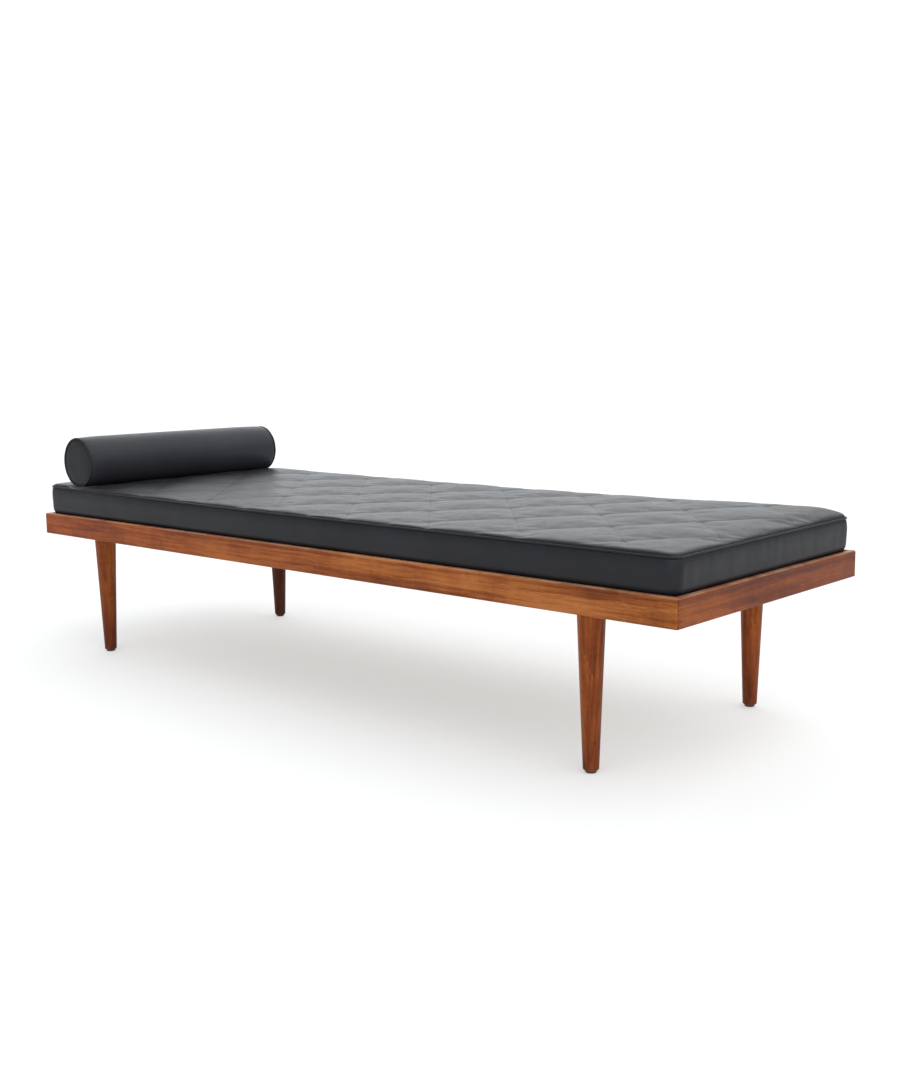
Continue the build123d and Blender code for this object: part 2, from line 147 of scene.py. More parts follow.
# ------------------------------------------------------------------ node helpers
class Nodes:
    """Short calls for building a material's node tree."""

    def __init__(self, name):
        self.material = bpy.data.materials.new(name)
        self.material.use_nodes = True
        self.tree = self.material.node_tree
        self.shader = self.tree.nodes["Principled BSDF"]
        self.coordinates = self.tree.nodes.new("ShaderNodeTexCoord").outputs["Object"]

    def link(self, source, target):
        self.tree.links.new(source, target)

    def textured(self, kind, vector, **inputs):
        """A node fed with a vector, and with constants; in a name, an underscore stands for a space."""
        node = self.tree.nodes.new("ShaderNode" + kind)
        for name, value in inputs.items():
            node.inputs[name.replace("_", " ")].default_value = value
        self.link(vector, node.inputs["Vector"])
        return node

    def mapped(self, scale, offset=(0.0, 0.0, 0.0)):
        return self.textured("Mapping", self.coordinates, Scale=scale, Location=offset).outputs["Vector"]

    def noise(self, vector, scale=1.0, detail=3.0, roughness=0.5, distortion=0.0):
        return self.textured(
            "TexNoise", vector, Scale=scale, Detail=detail, Roughness=roughness, Distortion=distortion
        ).outputs["Fac"]

    def ramp(self, factor, stops):
        node = self.tree.nodes.new("ShaderNodeValToRGB")
        elements = node.color_ramp.elements
        while len(elements) < len(stops):
            elements.new(0.5)
        for element, (position, colour) in zip(elements, stops):
            element.position = position
            element.color = (*colour, 1.0)
        self.link(factor, node.inputs["Fac"])
        return node.outputs["Color"]

    def remap(self, value, *numbers):
        return map_range(self.tree, value, numbers).outputs["Result"]

    def separate(self, vector, axis):
        node = self.tree.nodes.new("ShaderNodeSeparateXYZ")
        self.link(vector, node.inputs["Vector"])
        return node.outputs[axis]

    def math(self, operation, a, b):
        node = self.tree.nodes.new("ShaderNodeMath")
        node.operation = operation
        for socket, value in zip(node.inputs, (a, b)):
            if isinstance(value, (int, float)):
                socket.default_value = value
            else:
                self.link(value, socket)
        return node.outputs["Value"]

    def mix(self, factor, a, b, blend="MIX"):
        node = self.tree.nodes.new("ShaderNodeMix")
        node.data_type = "RGBA"
        node.blend_type = blend
        sockets = {s.identifier: s for s in node.inputs}
        for key, value in (("Factor_Float", factor), ("A_Color", a), ("B_Color", b)):
            if isinstance(value, (int, float)):
                sockets[key].default_value = value
            elif isinstance(value, tuple):
                sockets[key].default_value = (*value, 1.0)
            else:
                self.link(value, sockets[key])
        return {s.identifier: s for s in node.outputs}["Result_Color"]

    def bump(self, height, distance, strength=1.0, normal=None):
        node = self.tree.nodes.new("ShaderNodeBump")
        node.inputs["Strength"].default_value = strength
        node.inputs["Distance"].default_value = distance
        self.link(height, node.inputs["Height"])
        if normal is not None:
            self.link(normal, node.inputs["Normal"])
        return node.outputs["Normal"]

    def set(self, **values):
        """Sets constants on the shader; a name's underscores stand for spaces."""
        for name, value in values.items():
            self.shader.inputs[name.replace("_", " ")].default_value = value

    def feed(self, name, source):
        self.link(source, self.shader.inputs[name])


# ------------------------------------------------------------------ materials
def scaled(colour, factor):
    """A colour made lighter or darker."""
    return tuple(channel * factor for channel in colour)


def along_grain(axis, along, across):
    """Texture scale, per metre, for features stretched along one axis."""
    scale = [across, across, across]
    scale["XYZ".index(axis)] = along
    return tuple(scale)


# Colour of the painted highlight on the rails' rounded top edge.
RAIL_EDGE_HIGHLIGHT = (0.50, 0.30, 0.19)


def wood_material(
    name, axis, offset, dark, middle, light, ring_scale=34.0, pith=(0.0, 0.0, 0.0), highlight_height=None, painted_gradient=None
):
    """Oiled hardwood: slow colour bands, growth rings cut along the grain, fibres and open pores.
    highlight_height is the height of a top edge given a painted highlight, and painted_gradient is (axis,
    from, to, first colour, last colour), painted light and shade that change slowly along the piece."""
    n = Nodes(name)
    drift = n.noise(n.mapped(along_grain(axis, 3.2, 13.0), offset), 1.0, 3.0, 0.55, 0.5)
    bands = n.noise(n.mapped(along_grain(axis, 1.7, 46.0), offset), 1.0, 4.0, 0.62, 0.9)
    mottle = n.noise(n.mapped(along_grain(axis, 34.0, 20.0), offset), 1.0, 3.0, 0.6, 0.7)
    fibres = n.noise(n.mapped(along_grain(axis, 13.0, 430.0), offset), 1.0, 3.0, 0.65)
    pores = n.noise(n.mapped(along_grain(axis, 75.0, 1900.0), offset), 1.0, 2.0, 0.5)
    place = n.mapped(along_grain(axis, 0.16, 1.0), pith)
    rings = n.textured("TexWave", place, Scale=ring_scale, Distortion=5.0, Detail=3.0, Detail_Scale=1.6)
    rings.wave_type = "RINGS"
    rings.rings_direction = axis
    rings.wave_profile = "SAW"
    tone = n.math("MULTIPLY", bands, 0.46)
    for part, share in ((drift, 0.44), (fibres, 0.20), (mottle, 0.12), (rings.outputs["Fac"], 0.07)):
        tone = n.math("ADD", tone, n.math("MULTIPLY", part, share))
    colour = n.ramp(tone, [(0.51, dark), (0.635, middle), (0.75, light)])
    pore_mask = n.remap(pores, 0.30, 0.42, 0.55, 0.0)
    colour = n.mix(pore_mask, colour, scaled(dark, 0.45))
    # Painted light and shade: the colour multiplied by a slow gradient along one axis.
    if painted_gradient:
        along, start, end, first, last = painted_gradient
        level = n.remap(n.separate(n.coordinates, along), start, end, 0.0, 1.0)
        colour = n.mix(1.0, colour, n.mix(level, first, last), "MULTIPLY")
    # A painted highlight: the rounded top edge made lighter, in patches, in place of the sheen it catches.
    if highlight_height:
        highlight_band = n.remap(n.separate(n.coordinates, "Z"), highlight_height - 3.0 * MM, highlight_height - 0.8 * MM, 0.0, 0.5)
        patchy = n.remap(n.noise(n.coordinates, 21.0, 3.0, 0.6), 0.35, 0.6, 0.35, 1.0)
        colour = n.mix(n.math("MULTIPLY", highlight_band, patchy), colour, RAIL_EDGE_HIGHLIGHT)
    n.feed("Base Color", colour)
    n.feed("Roughness", n.remap(fibres, 0.3, 0.7, 0.36, 0.50))
    height = n.math("ADD", n.math("MULTIPLY", pores, 0.6), n.math("MULTIPLY", fibres, 0.4))
    n.feed("Normal", n.bump(height, 0.0004, 0.5))
    n.set(IOR=1.27)
    return n.material


def leather_material(name, base, roughness=(0.37, 0.45), grain=1.0):
    """Black upholstery leather: pebbled grain, soft creases, a faint cool variation in the dye."""
    n = Nodes(name)
    cells = n.textured("TexVoronoi", n.mapped((1.0, 1.0, 1.0)), Scale=820.0).outputs["Distance"]
    fine = n.noise(n.coordinates, 2300.0, 2.0)
    creases = n.noise(n.mapped((1.0, 1.0, 1.0), (3.1, 1.7, 0.4)), 46.0, 5.0, 0.62, 0.8)
    patches = n.noise(n.coordinates, 5.5, 3.0, 0.5)
    colour = n.ramp(
        n.math("ADD", n.math("MULTIPLY", patches, 0.7), n.math("MULTIPLY", creases, 0.3)),
        [(0.30, scaled(base, 0.78)), (0.5, base), (0.72, scaled(base, 1.25))],
    )
    dimple = n.remap(cells, 0.0, 0.7, 0.0, 1.0)
    colour = n.mix(n.remap(cells, 0.35, 0.75, 0.0, 0.35), colour, scaled(base, 0.5))
    n.feed("Base Color", colour)
    n.feed("Roughness", n.remap(creases, 0.3, 0.7, roughness[0], roughness[1]))
    height = n.math("ADD", n.math("MULTIPLY", dimple, -0.7), n.math("MULTIPLY", fine, 0.3))
    small = n.bump(height, 0.00022 * grain, 0.55)
    n.feed("Normal", n.bump(creases, 0.0007, 0.14, small))
    n.set(IOR=1.28)
    return n.material


def woven_material(name, base, pitch=900.0):
    """A tight plain-weave cloth."""
    n = Nodes(name)
    threads = []
    for direction in "XY":
        wave = n.textured("TexWave", n.coordinates, Scale=pitch / 3.0, Distortion=0.6)
        wave.bands_direction = direction
        threads.append(wave.outputs["Fac"])
    weave = n.math("MULTIPLY", *threads)
    fluff = n.noise(n.coordinates, 240.0, 3.0, 0.6)
    tone = n.math("ADD", n.math("MULTIPLY", weave, 0.5), n.math("MULTIPLY", fluff, 0.5))
    n.feed("Base Color", n.ramp(tone, [(0.2, scaled(base, 0.6)), (0.8, scaled(base, 1.5))]))
    n.feed("Normal", n.bump(weave, 0.0003, 0.6))
    n.set(Roughness=0.9, Sheen_Weight=0.15)
    return n.material


def metal_material(name, base, roughness, metallic=1.0):
    """Plain fastener metal with fine turning marks and a little dulling."""
    n = Nodes(name)
    marks = n.noise(n.mapped((300.0, 300.0, 2400.0)), 1.0, 2.0, 0.5)
    dull = n.noise(n.coordinates, 90.0, 3.0, 0.6)
    n.feed("Base Color", n.ramp(dull, [(0.3, scaled(base, 0.75)), (0.7, base)]))
    n.feed("Roughness", n.remap(dull, 0.3, 0.7, roughness, roughness + 0.14))
    n.feed("Normal", n.bump(marks, 0.00005, 0.4))
    n.set(Metallic=metallic)
    return n.material


def plastic_material(name, base, roughness=0.55):
    """Moulded plastic with a fine spark-eroded texture and scuffs."""
    n = Nodes(name)
    texture = n.noise(n.coordinates, 1500.0, 2.0, 0.6)
    scuffs = n.noise(n.mapped((60.0, 60.0, 60.0)), 1.0, 4.0, 0.7, 0.6)
    n.feed("Base Color", n.ramp(scuffs, [(0.35, scaled(base, 0.8)), (0.75, scaled(base, 1.5))]))
    n.feed("Roughness", n.remap(scuffs, 0.3, 0.7, roughness - 0.08, roughness + 0.12))
    n.feed("Normal", n.bump(texture, 0.00008, 0.5))
    return n.material


# ------------------------------------------------------------------ mesh helpers
def add_piece(name, mesh, material, body):
    """Shows a mesh as a piece; without a body it is left for later calls to place."""
    piece = bpy.data.objects.new(name, mesh)
    scene.collection.objects.link(piece)
    mesh.materials.append(material)
    if body:
        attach(piece, body)
    return piece


def add_mesh(name, vertices, faces, material, body):
    mesh = bpy.data.meshes.new(name)
    mesh.from_pydata([tuple(v) for v in vertices], [], faces)
    mesh.validate()
    mesh.update()
    mesh.polygons.foreach_set("use_smooth", [True] * len(mesh.polygons))
    return add_piece(name, mesh, material, body)


def grid_faces(rows, columns, closed_rows=False, closed_columns=False):
    """Faces between neighbours in a grid of vertices that are numbered row by row."""
    faces = []
    for row in range(rows if closed_rows else rows - 1):
        here, there = row * columns, (row + 1) % rows * columns
        for column in range(columns if closed_columns else columns - 1):
            beside = (column + 1) % columns
            faces.append((here + column, here + beside, there + beside, there + column))
    return faces


def turned_over(faces):
    return [face[::-1] for face in faces]


def numbered_from(first, faces):
    return [tuple(first + number for number in face) for face in faces]


def wobble(x, y, z, scale, seed=0.0):
    """Smooth noise from -1 to 1 at a point in metres, with features about 1/scale metres wide."""
    return noise.noise(Vector((x * scale + seed, y * scale - seed, z * scale + 0.37 * seed)))


# ------------------------------------------------------------------ mattress shape
band_low, band_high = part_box("mattress_side_band")
HALF_X, HALF_Y = band_high.x, band_high.y
CORNER = 20 * MM
MATTRESS_FOOT = band_low.z
RIM_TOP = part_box("front_rail")[1].z
BOLSTER_LOW, BOLSTER_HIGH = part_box("bolster_sleeve")
BOLSTER_X = (BOLSTER_LOW.x + BOLSTER_HIGH.x) / 2
BOLSTER_Z = (BOLSTER_LOW.z + BOLSTER_HIGH.z) / 2
BOLSTER_RADIUS = (BOLSTER_HIGH.z - BOLSTER_LOW.z) / 2
MATTRESS_ZIP_LOW, MATTRESS_ZIP_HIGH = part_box("mattress_zip_chain")
BOLSTER_ZIP_LOW, BOLSTER_ZIP_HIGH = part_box("bolster_zip_chain")
ZIP_Z = (MATTRESS_ZIP_LOW.z + MATTRESS_ZIP_HIGH.z) / 2

QUILT_X = 114.5 * MM        # half a diamond along the bed
QUILT_Y = 125.0 * MM        # half a diamond across it
QUILT_START = 108.0 * MM    # a crossing of two stitch lines on the middle line
CELLS = 16                  # mesh steps to half a diamond
PUFF = 1.1 * MM             # height of a puff before it is inflated
LINE_GAP = 2 / math.hypot(1 / QUILT_X, 1 / QUILT_Y)  # metres between neighbouring stitch lines


STRAIGHT_X, STRAIGHT_Y = HALF_X - CORNER, HALF_Y - CORNER
QUARTER = CORNER * math.pi / 2
OUTLINE = 4 * (STRAIGHT_X + STRAIGHT_Y + QUARTER)  # metres around the mattress
# The way around it, counter-clockwise from the middle of the foot end: for a straight run its length,
# start, heading and outward normal, and for a corner its length, centre and first turn in half turns.
RUNS = [
    (STRAIGHT_Y, (HALF_X, 0.0), (0.0, 1.0), (1.0, 0.0)),
    (QUARTER, (STRAIGHT_X, STRAIGHT_Y), 0.0, None),
    (2 * STRAIGHT_X, (STRAIGHT_X, HALF_Y), (-1.0, 0.0), (0.0, 1.0)),
    (QUARTER, (-STRAIGHT_X, STRAIGHT_Y), 0.5, None),
    (2 * STRAIGHT_Y, (-HALF_X, STRAIGHT_Y), (0.0, -1.0), (-1.0, 0.0)),
    (QUARTER, (-STRAIGHT_X, -STRAIGHT_Y), 1.0, None),
    (2 * STRAIGHT_X, (-STRAIGHT_X, -HALF_Y), (1.0, 0.0), (0.0, -1.0)),
    (QUARTER, (STRAIGHT_X, -STRAIGHT_Y), 1.5, None),
    (STRAIGHT_Y, (HALF_X, -STRAIGHT_Y), (0.0, 1.0), (1.0, 0.0)),
]


def outline_point(length):
    """Point and outward normal at a length along the mattress's outline."""
    for run, start, heading, normal in RUNS:
        if length <= run:
            break
        length -= run
    if normal is None:
        turn = heading * math.pi + length / CORNER
        normal = (math.cos(turn), math.sin(turn))
        return (start[0] + CORNER * normal[0], start[1] + CORNER * normal[1]), normal
    return (start[0] + heading[0] * length, start[1] + heading[1] * length), normal


def seam_height(x, y):
    """Height of the top edge seam: lowest along the front and at the foot corners."""
    across = (y + HALF_Y) / (2 * HALF_Y)
    toward_head = max(0.0, -x / HALF_X) ** 2
    toward_foot = max(0.0, x / HALF_X) ** 2
    return (404.5 + 5.0 * across + 6.0 * (1 - across) * toward_head - 2.5 * across * toward_foot) * MM


def edge_distance(x, y):
    """Distance inwards from the mattress outline, and the outward direction there."""
    qx, qy = abs(x) - (HALF_X - CORNER), abs(y) - (HALF_Y - CORNER)
    if qx > 0 and qy > 0:
        reach = max(math.hypot(qx, qy), 1e-9)
        return CORNER - reach, (math.copysign(qx / reach, x), math.copysign(qy / reach, y))
    if qx > qy:
        return CORNER - qx, (math.copysign(1.0, x), 0.0)
    return CORNER - qy, (0.0, math.copysign(1.0, y))


def bolster_room(x, y, z):
    """Lowers a height so that the mattress stays clear under the bolster that rests on it."""
    gap = 1.5 * MM
    reach = BOLSTER_RADIUS + 2.0 * MM
    off = x - BOLSTER_X
    beyond = max(0.0, BOLSTER_LOW.y - 4 * MM - y, y - BOLSTER_HIGH.y - 4 * MM)
    if abs(off) < reach:
        under = BOLSTER_Z - math.sqrt(reach * reach - off * off) - gap
        free = under + beyond * 0.55
        soft = 2.2 * MM
        if z > free - soft * 2:
            over = (z - (free - soft * 2)) / (soft * 2)
            z = free - soft * 2 + soft * 2 * (1 - math.exp(-over))
    return z


def lattice(x, y):
    """Position on the two families of stitch lines; a whole number is a line."""
    s = (x - QUILT_START) / QUILT_X
    t = y / QUILT_Y
    return (s + t) / 2, (s - t) / 2


def top_height(x, y):
    """Height of the quilted top: crown, puffs between the stitch lines, and dips where lines cross."""
    distance = max(edge_distance(x, y)[0], 0.0)
    from_end = max(HALF_X - abs(x), 0.0)
    from_side = max(HALF_Y - abs(y), 0.0)
    p, q = lattice(x, y)
    across = (y + HALF_Y) / (2 * HALF_Y)
    rise = 1 - math.exp(-distance / (14 * MM))
    crown = 3.8 * MM * rise + 1.6 * MM * (1 - math.exp(-distance / (90 * MM)))
    roll = 1 - (1 - min(from_end / (66 * MM), 1.0)) ** 2
    if x > 0:
        lobe = (3.5 + 13.5 * across) * math.exp(-((from_end / (480 * MM)) ** 2))
    else:
        lobe = (4.0 + 8.5 * across) * math.exp(-from_end / (400 * MM))
    crown += lobe * MM * roll * rise
    fade = (1 - math.exp(-((from_side / (50 * MM)) ** 2))) * (1 - math.exp(-((from_end / (60 * MM)) ** 2)))
    pillow = (abs(math.sin(math.pi * p)) * abs(math.sin(math.pi * q))) ** 0.55
    crossing = math.exp(-(math.sin(math.pi * p) ** 2 + math.sin(math.pi * q) ** 2) / 0.035)
    return seam_height(x, y) + crown + (PUFF * pillow - 2.0 * MM * crossing) * (0.12 + 0.88 * fade)


def grid_lines(half, step, start):
    """Mesh line positions: lattice steps inside, three close rows at each edge."""
    edge_rows = [0.0, 3.0 * MM, 6.5 * MM, 11.0 * MM]
    inner = half - edge_rows[-1] - step * 0.55
    first = math.ceil((-inner - start) / step)
    last = math.floor((inner - start) / step)
    middle = [(start + i * step, i) for i in range(first, last + 1)]
    low = [(-half + row, None) for row in edge_rows]
    high = [(half - row, None) for row in reversed(edge_rows)]
    return low + middle + high


def round_corner(x, y):
    """Moves a point of the square corner onto the rounded corner."""
    cx, cy = HALF_X - CORNER, HALF_Y - CORNER
    u, v = (abs(x) - cx) / CORNER, (abs(y) - cy) / CORNER
    if u <= 0 or v <= 0:
        return x, y
    ru, rv = u * math.sqrt(1 - v * v / 2), v * math.sqrt(1 - u * u / 2)
    return math.copysign(cx + ru * CORNER, x), math.copysign(cy + rv * CORNER, y)


def rolled_edge(distance):
    """How far the cover stands out and rises near the top seam, at a distance in from the outline."""
    stations = [0.0, 3.0, 6.5, 11.0, 18.0, 30.0, 60.0]
    out = [-2.2, 1.3, 2.3, 2.0, 0.9, 0.2, 0.0]
    lift = [-0.4, 1.9, 3.6, 3.9, 2.8, 1.0, 0.0]
    d = distance / MM
    return np.interp(d, stations, out) * MM, np.interp(d, stations, lift) * MM


def on_stitch_line(i, j):
    """Whether a mesh point, counted in mesh steps from the crossing, lies on a line of stitches."""
    if i is None or j is None:
        return False
    return (i + j) % (2 * CELLS) == 0 or (i - j) % (2 * CELLS) == 0


def make_quilted_top(material):
    """The quilted panel: a sheet on the stitch lattice, held at the seam and the stitches, and inflated
    between them by cloth simulation."""
    columns = grid_lines(HALF_X, QUILT_X / CELLS, QUILT_START)
    rows = grid_lines(HALF_Y, QUILT_Y / CELLS, 0.0)
    vertices, held = [], []
    for y0, j in rows:
        for x0, i in columns:
            x, y = round_corner(x0, y0)
            distance, (nx, ny) = edge_distance(x, y)
            distance = max(distance, 0.0)
            out, lift = rolled_edge(distance)
            z = top_height(x, y) + lift
            if distance > 12 * MM:
                z += 0.15 * MM * wobble(x, y, 0.0, 13.0, 5.0)
            z = bolster_room(x, y, z)
            vertices.append((x + nx * out, y + ny * out, z))
            held.append(1.0 if on_stitch_line(i, j) or distance < 1 * MM else 0.0)
    faces = []
    for r in range(len(rows) - 1):
        for c in range(len(columns) - 1):
            a = r * len(columns) + c
            b, d, e = a + 1, a + len(columns), a + len(columns) + 1
            if held[a] and held[e] and not held[b] and not held[d]:
                faces += [(a, b, e), (a, e, d)]
            elif held[b] and held[d] and not held[a] and not held[e]:
                faces += [(a, b, d), (b, e, d)]
            else:
                faces.append((a, b, e, d))
    piece = add_mesh("quilted_top", vertices, faces, material, None)
    inflate(piece, held)
    ripple_near_stitches(piece)
    subdivide(piece)
    close_edges(piece, [inward(1.5 * MM, 1.5 * MM), inward(5 * MM, 7 * MM)])
    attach(piece, "mattress")
    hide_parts("mattress_top_panel")
    return piece


def inflate(piece, held):
    """Cloth simulation with a little air pressure; the stitched points stay where they are."""
    start = np.array([v.co for v in piece.data.vertices])
    group = piece.vertex_groups.new(name="held")
    for number, weight in enumerate(held):
        if weight:
            group.add([number], weight, "REPLACE")
    cloth = piece.modifiers.new("cloth", "CLOTH")
    settings = cloth.settings
    settings.quality = 5
    settings.mass = 0.3
    settings.tension_stiffness = 30.0
    settings.compression_stiffness = 30.0
    settings.shear_stiffness = 12.0
    settings.bending_stiffness = 1.2
    settings.use_pressure = True
    settings.uniform_pressure_force = 0.28
    settings.shrink_min = -0.002
    settings.vertex_group_mass = "held"
    settings.effector_weights.gravity = 0.0
    last_frame = 20
    cloth.point_cache.frame_start = 1
    cloth.point_cache.frame_end = last_frame
    for number in range(1, last_frame + 1):
        scene.frame_set(number)
    depsgraph = bpy.context.evaluated_depsgraph_get()
    result = piece.evaluated_get(depsgraph)
    moved = np.array([v.co for v in result.data.vertices])
    piece.modifiers.remove(cloth)
    scene.frame_set(1)
    shift = moved - start
    size = np.linalg.norm(shift, axis=1, keepdims=True)
    cap = 4.0 * MM  # no point moves further than this
    shift *= np.minimum(1.0, cap / np.maximum(size, 1e-9))
    final = start + shift
    for vertex, place in zip(piece.data.vertices, final):
        vertex.co = (place[0], place[1], bolster_room(place[0], place[1], place[2]))
    piece.data.update()


def ripple_near_stitches(piece):
    """Small gathers that run off the stitch lines and the edge seam and die away in the puffs."""
    for vertex in piece.data.vertices:
        x, y, z = vertex.co
        distance, _ = edge_distance(x, y)
        p, q = lattice(x, y)
        lift = 0.0
        for across, along, seed in ((p, q, 11.0), (q, p, 57.0)):
            line = round(across)
            off = abs(across - line) * LINE_GAP
            gather = noise.noise(Vector((along * LINE_GAP / (12 * MM), off / (60 * MM), seed + 3 * line)))
            lift += 0.11 * MM * gather * math.exp(-off / (13 * MM)) * (1 - math.exp(-off / (2.5 * MM)))
            lift -= 0.55 * MM * math.exp(-((off / (2.6 * MM)) ** 2))
        lift *= 1 - math.exp(-max(distance, 0.0) / (14 * MM))
        if distance > 4 * MM:
            along = x if abs(y) > HALF_Y - 60 * MM else y
            gather = noise.noise(Vector((along / (17 * MM), distance / (70 * MM), 3.3)))
            lift += 0.30 * MM * gather * math.exp(-distance / (16 * MM))
        vertex.co.z = bolster_room(x, y, z + lift)
    piece.data.update()


def make_quilt_thread(top, material):
    """The quilting thread: short stitches that lie in the valleys of the finished top."""
    surface = BVHTree.FromObject(top, bpy.context.evaluated_depsgraph_get())
    stitch, gap, thickness = 4.3 * MM, 1.5 * MM, 0.42 * MM
    margin = 5 * MM
    heading_length = math.hypot(QUILT_X, QUILT_Y)
    widths = ((-0.5, 0.35), (-0.32, 0.9), (0.0, 1.0), (0.32, 0.9), (0.5, 0.35))  # place along it, share
    sides = 6
    last_ring = sides * (len(widths) - 1)
    stitch_faces = grid_faces(len(widths), sides, closed_columns=True)
    stitch_faces += [tuple(reversed(range(sides))), tuple(range(last_ring, last_ring + sides))]
    vertices, faces = [], []
    for slope in (1, -1):
        heading = Vector((slope * QUILT_X, QUILT_Y, 0.0)) / heading_length
        beside = Vector((-heading.y, heading.x, 0.0))
        reach = HALF_Y * heading_length / QUILT_Y
        for line in range(-8, 9):
            centre = Vector((QUILT_START + 2 * line * QUILT_X, 0.0, 0.0))
            for k in range(int(2 * reach / (stitch + gap))):
                middle = centre + heading * (k * (stitch + gap) - reach)
                between = abs(math.sin(math.pi * middle.y / QUILT_Y))
                if abs(middle.x) > HALF_X - margin or abs(middle.y) > HALF_Y - margin:
                    continue
                first = len(vertices)
                for share, width in widths:
                    place = middle + heading * (share * stitch)
                    hit = surface.ray_cast(Vector((place.x, place.y, 1.0)), Vector((0, 0, -1)))[0]
                    if hit is None:
                        hit = Vector((place.x, place.y, 0.41))
                    level = hit.z + thickness * (0.5 - 0.8 * between - 2.6 * share * share)
                    for side in range(sides):
                        turn = 2 * math.pi * side / sides
                        shift = beside * (math.cos(turn) * thickness * width)
                        height = level + math.sin(turn) * thickness * width
                        vertices.append((place.x + shift.x, place.y + shift.y, height))
                faces += numbered_from(first, stitch_faces)
    add_mesh("quilt_thread", vertices, faces, material, "mattress")


def close_edges(piece, turns):
    """Closes a cushion's free edges out of sight: each function in turns moves the edge to the next ring
    inward, and the last ring is filled."""
    work = bmesh.new()
    work.from_mesh(piece.data)
    edges = [edge for edge in work.edges if edge.is_boundary]
    for turn in turns:
        made = bmesh.ops.extrude_edge_only(work, edges=edges)["geom"]
        for vertex in (item for item in made if isinstance(item, bmesh.types.BMVert)):
            vertex.co = turn(vertex.co)
        edges = [item for item in made if isinstance(item, bmesh.types.BMEdge) and item.is_boundary]
    bmesh.ops.holes_fill(work, edges=edges, sides=0)
    bmesh.ops.recalc_face_normals(work, faces=work.faces)
    work.to_mesh(piece.data)
    work.free()


def inward(distance, drop):
    """For close_edges: moves a point of the mattress in from its outline, and down."""

    def turn(place):
        nx, ny = edge_distance(place.x, place.y)[1]
        return Vector((place.x - nx * distance, place.y - ny * distance, place.z - drop))

    return turn


def subdivide(piece, levels=1):
    """Applies one subdivision surface step."""
    modifier = piece.modifiers.new("smooth", "SUBSURF")
    modifier.levels = levels
    modifier.render_levels = levels
    depsgraph = bpy.context.evaluated_depsgraph_get()
    mesh = bpy.data.meshes.new_from_object(piece.evaluated_get(depsgraph))
    piece.modifiers.remove(modifier)
    old = piece.data
    piece.data = mesh
    bpy.data.meshes.remove(old)
    mesh.name = piece.name
    mesh.polygons.foreach_set("use_smooth", [True] * len(mesh.polygons))


def ring_strip(name, stations, profile, material):
    """A strip around the mattress: profile(x, y, length) gives rows of (out, z) from top to foot."""
    vertices = []
    for k in range(stations):
        length = OUTLINE * k / stations
        (x, y), (nx, ny) = outline_point(length)
        for out, z in profile(x, y, length):
            vertices.append((x + nx * out, y + ny * out, z))
    faces = grid_faces(stations, len(vertices) // stations, closed_rows=True)
    return add_mesh(name, vertices, faces, material, "mattress")


BAND_STATIONS = 840
# The side band: share of the height below the seam, and how far it stands out there in millimetres.
BAND_OUT = [
    (0.0, -1.5), (0.025, -0.3), (0.06, 0.8), (0.11, 1.7), (0.18, 2.3), (0.27, 2.6), (0.37, 2.4), (0.47, 2.0),
    (0.56, 1.7), (0.65, 1.6), (0.73, 1.3), (0.79, 0.4), (0.84, -1.2), (0.885, -3.6), (0.925, -6.8),
    (0.96, -10.4), (0.985, -14.2), (1.0, -18.0),
]
# Its rows: millimetres below the seam, then millimetres above the zip, then above the mattress's foot.
ROWS_BELOW_SEAM = [0.0, 1.8, 4.2, 7.7, 12.6]
ROWS_ABOVE_ZIP = [12.0, 10.0, 7.5, 6.0, 5.0, 4.4, 0.0, -4.4, -5.0, -6.0, -7.5, -10.0, -14.0]
ROWS_ABOVE_FOOT = [23.5, 19.5, 16.0, 12.8, 9.8, 7.0, 4.6, 2.6, 1.1, 0.0]


def zip_opening(x, y, z):
    """How strongly the zip's opening shapes the band, from 0 to 1, and how many mm out it sets it."""
    off = abs(z - ZIP_Z) / MM
    beyond = max(0.0, MATTRESS_ZIP_LOW.x - 2 * MM - x, x - MATTRESS_ZIP_HIGH.x - 2 * MM)
    hold = math.exp(-((beyond / (5 * MM)) ** 2)) if y > HALF_Y - 1 * MM else 0.0
    hold *= np.interp(off, [0.0, 7.5, 16.0], [1.0, 1.0, 0.0])
    return hold, np.interp(off, [0.0, 4.4, 6.2, 8.0], [-2.0, -2.0, 1.0, 1.5])


